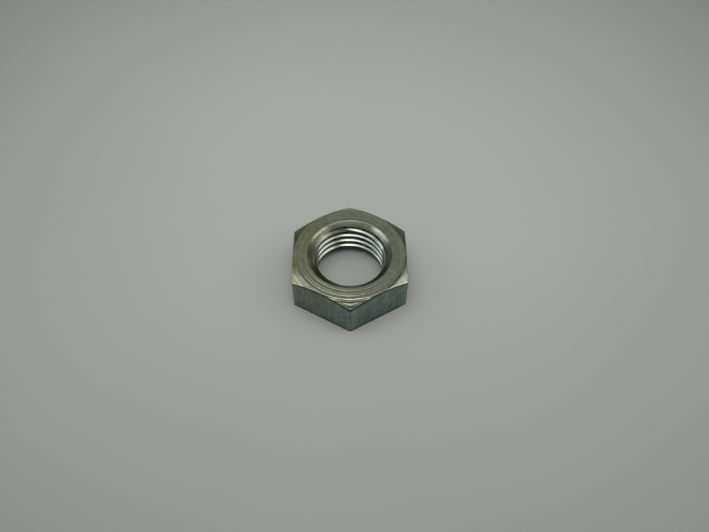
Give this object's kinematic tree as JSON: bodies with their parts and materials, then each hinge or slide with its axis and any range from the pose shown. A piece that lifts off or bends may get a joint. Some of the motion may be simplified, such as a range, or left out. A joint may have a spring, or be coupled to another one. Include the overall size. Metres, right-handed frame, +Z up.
{
  "type": "hex nut",
  "caption": "Thin hexagon jam nut in zinc-plated steel: fine internal thread, countersunk bore, top corners turned off in a shallow cone.",
  "frame": {"origin": "centre of the bottom bearing face, on the thread axis", "axes": "+Z up along the thread axis towards the chamfered face; two opposite corners on Y; two opposite wrench flats face +X and -X"},
  "size_m": [0.021, 0.0242, 0.0079],
  "materials": {
    "zinc_plate": "bright zinc plate with a faint yellow-green cast: turned rings on the top face, smooth flats"
  },
  "bodies": {
    "root": {"hex_nut": "zinc_plate"}
  },
  "joints": []
}
